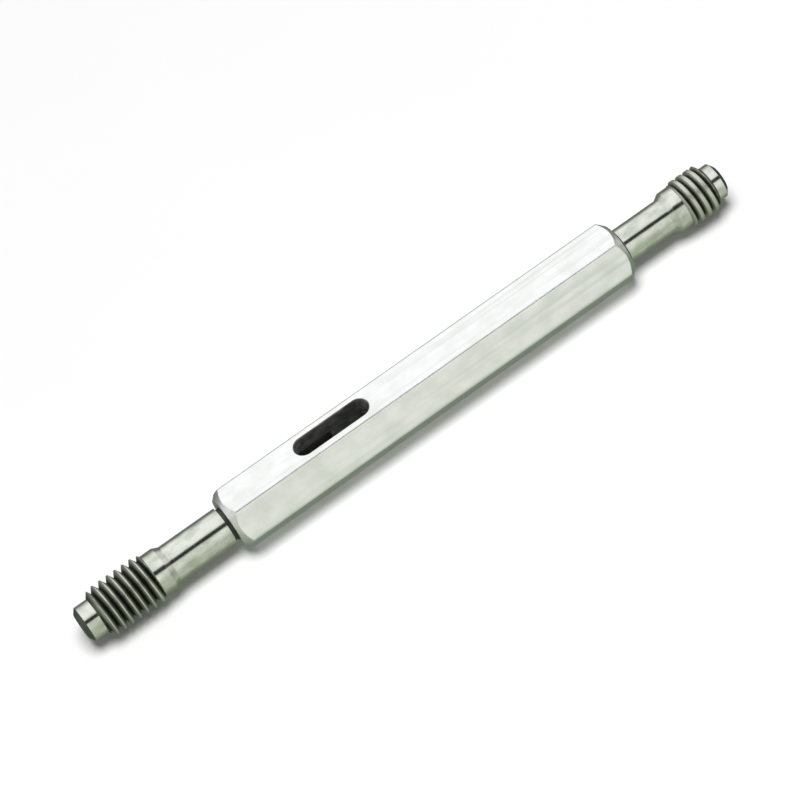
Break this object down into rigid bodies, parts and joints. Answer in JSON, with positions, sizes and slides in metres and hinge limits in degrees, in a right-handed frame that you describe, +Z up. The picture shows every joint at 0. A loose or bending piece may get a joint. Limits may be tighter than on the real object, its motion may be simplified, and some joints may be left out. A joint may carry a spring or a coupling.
{
  "type": "thread plug gauge",
  "caption": "Double-ended thread plug gauge: hexagonal aluminium handle with a drift slot, a long GO screw member and a short NO-GO screw member on tapered shanks.",
  "frame": {"origin": "centre of the overall length and width, at the flat that the hexagon lies on", "axes": "+X along the gauge from the GO tip towards the NO-GO tip, +Z up through the flat with the drift slot, so +Y is across the bar"},
  "size_m": [0.0866, 0.008, 0.007],
  "materials": {
    "satin_aluminium": "satin clear anodised",
    "ground_steel": "hardened, ground and lapped bright"
  },
  "bodies": {
    "root": {"handle": "satin_aluminium", "go_member": "ground_steel", "no_go_member": "ground_steel"}
  },
  "joints": []
}
